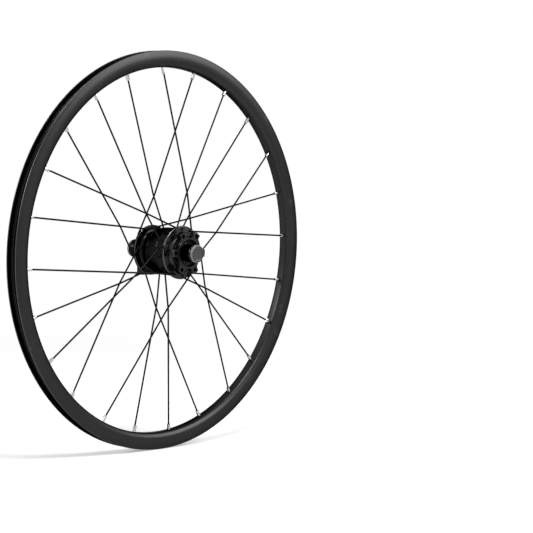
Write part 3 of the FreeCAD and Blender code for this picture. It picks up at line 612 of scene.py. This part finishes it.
def makeMount():
    shape = mountShape
    low, high = shape["y"]
    bm = bmesh.new()
    roundBar(bm, (0, low, 0), (0, high, 0), shape["radius"], shape["sides"])
    mount = piece("lobedMount", bm, "shell")
    low, high = low - cutPast, high + cutPast
    cutter = bmesh.new()
    for lobe in range(shape["lobes"]):
        angle = 360 / shape["lobes"] * lobe
        boltAngle = 360 / shape["lobes"] * (lobe + 0.5)
        scallop = [onWheel(shape["scallopCentre"], angle, y) for y in (low, high)]
        bolt = [onWheel(shape["boltCircle"], boltAngle, y) for y in (low, high)]
        roundBar(cutter, *scallop, shape["scallop"], shape["scallopSides"])
        roundBar(cutter, *bolt, shape["boltRadius"], shape["boltSides"])
    roundBar(cutter, (0, low, 0), (0, high, 0), shape["bore"], shape["boreSides"])
    cutAway(mount, cutter)
    bm = bmesh.new()
    bm.from_mesh(mount.data)
    corners = [edge for edge in bm.edges if isLobeCorner(edge)]
    bevelled(bm, corners, shape["lobeRounding"], shape["lobeSteps"], "EDGES")
    bm.to_mesh(mount.data)
    bm.free()
    softenEdges(mount, shape["edge"])
    return mount


def makeDiscShell():
    bm = turned(discShell["corners"])
    shell = piece("discSideShell", bm, "shell", "wheel", "disc_side_hub_shell")
    cutAway(shell, spokeHoles(-1))
    softenEdges(shell, discShell["edge"], discShell["edgeAngle"], 1)
    joined(shell, makeMount())
    print("disc side shell:", len(shell.data.polygons), "faces")


lampShell = {
    "corners": [
        (24.6, 0.4, 0.2), (25.75, 0.4, 0.2), (25.75, 3.0, 0.0), (27.2, 3.0, 0.12),
        (27.2, 4.6, 0.5), (20.5, 9.5, 2.4), (20.5, 20.0, 4.0), (29.5, 20.0, 0.9),
        (29.5, 23.0, 0.9), (16.05, 23.0, 0.3), (16.05, 13.4, 0.2), (15.2, 13.4, 0.2),
        (15.2, 11.2, 0.4), (24.6, 3.0, 0.4),
    ],
    "notches": 24, "notchWidth": 1.6, "notchDepth": 0.5, "notchY": (3.5, 5.2), "ridge": 27.2,
}


def makeLampShell():
    bm = turned(lampShell["corners"])
    shell = piece("lampSideShell", bm, "shell", "wheel", "lamp_side_hub_shell")
    cutter = spokeHoles(1)
    half = lampShell["notchWidth"] / 2
    start, end = lampShell["notchY"]
    low = (-half, start, lampShell["ridge"] - lampShell["notchDepth"])
    high = (half, end, lampShell["ridge"] + cutPast)
    for notch in range(lampShell["notches"]):
        block(cutter, low, high, 360 / lampShell["notches"] * notch)
    cutAway(shell, cutter)
    print("lamp side shell:", len(shell.data.polygons), "faces")


# Pieces on the axle: end caps, dust plugs, cover plate, connector and seals

capShape = {
    "barrel": 10.3, "collar": 10.9, "bore": 8.83, "collarWidth": 2.4, "end": 50.0, "steps": 128,
    "roundings": (0.1, 0.1, 0.15, 0.35, 0.35, 0.2), "discStart": 33.0, "lampStart": 32.2,
    "flats": 20.0, "flatsY": (47.6, 51.0), "cutReach": 14.0, "edge": 0.15, "edgeAngle": 50.0,
}


def makeCap(name, side, start, node):
    barrel, collar, bore = (capShape[key] for key in ("barrel", "collar", "bore"))
    start, end = side * start, side * capShape["end"]
    step = end - side * capShape["collarWidth"]
    points = (
        (bore, start), (barrel, start), (barrel, step), (collar, step), (collar, end), (bore, end),
    )
    bm = turned(rounded(points, capShape["roundings"]), capShape["steps"])
    return piece(name, bm, "cap", "axle_assembly", node)


def makeCaps():
    makeCap("discSideCap", -1, capShape["discStart"], "disc_side_end_cap")
    cap = makeCap("lampSideCap", 1, capShape["lampStart"], "lamp_side_end_cap")
    start, end = capShape["flatsY"]
    reach = capShape["cutReach"]
    cutter = bmesh.new()
    for side in (1, -1):
        low, high = sorted((side * capShape["flats"] / 2, side * reach))
        block(cutter, (low, start, -reach), (high, end, reach))
    cutAway(cap, cutter)
    softenEdges(cap, capShape["edge"], capShape["edgeAngle"], 1)
    print("end caps: 2")


plugShape = {
    "head": 10.0, "start": 50.0, "end": 53.6, "chamfer": 0.9, "stem": 7.67, "stemEnd": 43.0,
    "dish": 0.35, "dishRadii": (7.6, 7.2), "steps": 128,
    "roundings": (0, 0.5, 0.1, 0.3, 0.12, 0.12, 0.3, 0.4, 0),
}


def makePlugs():
    head, stem, chamfer = (plugShape[key] for key in ("head", "stem", "chamfer"))
    dishTop, dishFloor = plugShape["dishRadii"]
    for side, name in ((-1, "disc_side"), (1, "lamp_side")):
        start, end, stemEnd = (side * plugShape[key] for key in ("start", "end", "stemEnd"))
        floor = end - side * plugShape["dish"]
        points = (
            (0, stemEnd), (stem, stemEnd), (stem, start), (head, start),
            (head, end - side * chamfer), (head - chamfer, end), (dishTop, end),
            (dishFloor, floor), (0, floor),
        )
        bm = turned(rounded(points, plugShape["roundings"]), plugShape["steps"])
        piece(name + "Plug", bm, "plug", name + "_plug", name + "_dust_plug")
    print("dust plugs: 2")


coverShape = {
    "corners": [
        (10.02, 23.4, 0.1), (23.0, 23.4, 0.3), (23.0, 28.4, 1.0), (14.5, 28.4, 0.3),
        (14.0, 28.1, 0.2), (10.02, 28.1, 0.1),
    ],
    "steps": 160,
}


def makeCover():
    bm = turned(coverShape["corners"], coverShape["steps"])
    piece("coverPlate", bm, "cover", "axle_assembly", "generator_cover_plate")
    print("cover plate")


# The block stands below the axle on a neck that fits over the end cap, its socket open below
connectorShape = {
    "half": 8.0, "y": (28.4, 37.0), "z": (-30.0, -13.0), "edge": 0.7, "edgeSteps": 4, "wall": 1.3,
    "socket": 9.0, "neckHalf": 6.0, "neckY": (28.4, 32.2), "neckZ": (-14.5, -8.0),
    "saddle": 10.05, "saddleCut": (20.0, 40.0), "saddleSides": 96,
}


def makeConnector():
    shape = connectorShape
    half, wall = shape["half"], shape["wall"]
    lowY, highY = shape["y"]
    lowZ, highZ = shape["z"]
    bm = bmesh.new()
    block(bm, (-half, lowY, lowZ), (half, highY, highZ))
    body = piece("connectorBlock", bm, "connector", "axle_assembly", "lamp_connector")
    softenEdges(body, shape["edge"], segments=shape["edgeSteps"])
    bm = bmesh.new()
    low, high = zip((-shape["neckHalf"], shape["neckHalf"]), shape["neckY"], shape["neckZ"])
    block(bm, low, high)
    neck = piece("connectorNeck", bm, "connector")
    cutter = bmesh.new()
    start, end = ((0, y, 0) for y in shape["saddleCut"])
    roundBar(cutter, start, end, shape["saddle"], shape["saddleSides"])
    cutAway(neck, cutter)
    joined(body, neck)
    cutter = bmesh.new()
    low = (wall - half, lowY + wall, lowZ - cutPast)
    block(cutter, low, (half - wall, highY - wall, lowZ + shape["socket"]))
    cutAway(body, cutter)
    print("connector:", len(body.data.polygons), "faces")


# Each seal's lip radius and its two ends along the axle
sealShape = {
    "disc_side": (10.6, -34.6, -33.4), "lamp_side": (10.3, 20.8, 22.0), "outer": 16.0,
    "roundings": (0.3, 0.2, 0.2, 0.3), "steps": 96,
}


def makeSeals():
    outer = sealShape["outer"]
    for side in ("disc_side", "lamp_side"):
        lip, low, high = sealShape[side]
        points = ((lip, low), (outer, low), (outer, high), (lip, high))
        bm = turned(rounded(points, sealShape["roundings"]), sealShape["steps"])
        piece(side + "Seal", bm, "seal", "wheel", side + "_seal")
    print("seals: 2")


# The pieces that stay as they are take their finish here
hiddenFinishes = {
    "axle": "axle", "disc_side_bearing_inner_ring": "steel", "lamp_side_bearing_inner_ring": "steel",
    "disc_side_bearing_outer_ring": "steel", "lamp_side_bearing_outer_ring": "steel",
    "disc_side_bearing_balls": "steel", "lamp_side_bearing_balls": "steel",
    "back_iron_ring": "iron", "magnets": "magnet", "disc_side_claw_poles": "iron",
    "lamp_side_claw_poles": "iron", "generator_core": "iron", "generator_lock_ring": "iron",
    "coil_bobbin": "bobbin", "coil_winding": "copper", "coil_leads": "copper",
    "connector_terminals": "steel",
}


def dressHidden():
    for node, finish in hiddenFinishes.items():
        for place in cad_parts[node].material_slots:
            place.material = finishes[finish]
    print("plain pieces:", len(hiddenFinishes))


makeRim()
makeSpokes()
makeNipples()
makeDiscShell()
makeLampShell()
makeCaps()
makePlugs()
makeCover()
makeConnector()
makeSeals()
dressHidden()


# Camera: its offset is across, down and away from the wheel's centre, in rim radii

view = {
    "azimuth": -49.3, "elevation": 3.2, "roll": 2.75, "rimRadius": 0.232, "clipStart": 0.05,
    "offset": (-0.511, -0.078, 8.046), "focalPixels": 1600.0, "imagePixels": 533.0, "sensor": 36.0,
}


def makeCamera():
    azimuth, elevation, roll = (
        math.radians(view[key]) for key in ("azimuth", "elevation", "roll")
    )
    level = Vector((math.cos(azimuth), math.sin(azimuth), 0))
    front = Vector((math.sin(azimuth), -math.cos(azimuth), 0))
    back = front * math.cos(elevation) + Vector((0, 0, math.sin(elevation)))
    upright = back.cross(level)
    right = math.cos(roll) * level + math.sin(roll) * upright
    up = math.cos(roll) * upright - math.sin(roll) * level
    across, down, away = view["offset"]
    data = bpy.data.cameras.new("camera")
    data.sensor_width = view["sensor"]
    data.lens = view["sensor"] * view["focalPixels"] / view["imagePixels"]
    data.clip_start = view["clipStart"]
    camera = bpy.data.objects.new("camera", data)
    camera.matrix_world = Matrix((right, up, back)).transposed().to_4x4()
    camera.location = (back * away + up * down - right * across) * view["rimRadius"]
    scene.collection.objects.link(camera)
    scene.camera = camera
    print("camera:", [round(place, 3) for place in camera.location])


# Floor, backdrop and soft lamps; a lamp is its name, place, size and power

studio = {
    "floorZ": -0.2323, "floorSize": 12.0, "floorColour": 0.66, "floorGlow": 0.38,
    "shadowReach": (0.7, 1.4), "white": 1.0, "world": 0.25,
    "lamps": [
        ("key", (1.5, -1.5, 1.3), 1.5, 52.0), ("top", (-0.5, -1.0, 2.1), 0.7, 34.0),
        ("rimLight", (-1.5, 1.0, 0.9), 0.6, 16.0),
    ],
}


def makeWorld():
    scene.world = bpy.data.worlds.new("studio")
    sky = Finish(scene.world)
    shades = [
        sky.node("Background", {}, {"Color": (1, 1, 1, 1), "Strength": studio[name]})[0]
        for name in ("world", "white")
    ]
    mixed = sky.node("MixShader", {}, {0: sky.seen(), 1: shades[0], 2: shades[1]})[0]
    sky.node("OutputWorld", {}, {"Surface": mixed})


# The floor is plain, topped up to white for the eye, and all white away from the wheel
def floorFinish():
    finish = Finish(bpy.data.materials.new("pale floor"))
    colour = (*[studio["floorColour"]] * 3, 1)
    matt = finish.node("BsdfDiffuse", {}, {"Color": colour})[0]
    glow, white = (
        finish.node("Emission", {}, {"Color": (1, 1, 1, 1), "Strength": studio[name]})[0]
        for name in ("floorGlow", "white")
    )
    lifted = finish.node("AddShader", {}, {0: matt, 1: glow})[0]
    far = finish.ramp(finish.length(finish.place), *studio["shadowReach"])
    eye = finish.node("MixShader", {}, {0: far, 1: lifted, 2: white})[0]
    mixed = finish.node("MixShader", {}, {0: finish.seen(), 1: matt, 2: eye})[0]
    finish.node("OutputMaterial", {}, {"Surface": mixed})
    return finish.owner


def makeFloor():
    bm = bmesh.new()
    matrix = Matrix.Translation((0, 0, studio["floorZ"]))
    bmesh.ops.create_grid(bm, x_segments=1, y_segments=1, size=studio["floorSize"] / 2, matrix=matrix)
    mesh = bpy.data.meshes.new("floor")
    bm.to_mesh(mesh)
    bm.free()
    mesh.materials.append(floorFinish())
    floor = bpy.data.objects.new("floor", mesh)
    scene.collection.objects.link(floor)


def makeLamp(name, place, size, power):
    data = bpy.data.lights.new(name, "AREA")
    data.shape = "SQUARE"
    data.size = size
    data.energy = power
    lamp = bpy.data.objects.new(name, data)
    lamp.location = place
    lamp.rotation_euler = (-Vector(place)).to_track_quat("-Z", "Y").to_euler()
    scene.collection.objects.link(lamp)


makeCamera()
makeWorld()
makeFloor()
for lamp in studio["lamps"]:
    makeLamp(*lamp)
scene.view_settings.view_transform = "Standard"
print("studio:", len(studio["lamps"]), "lamps")
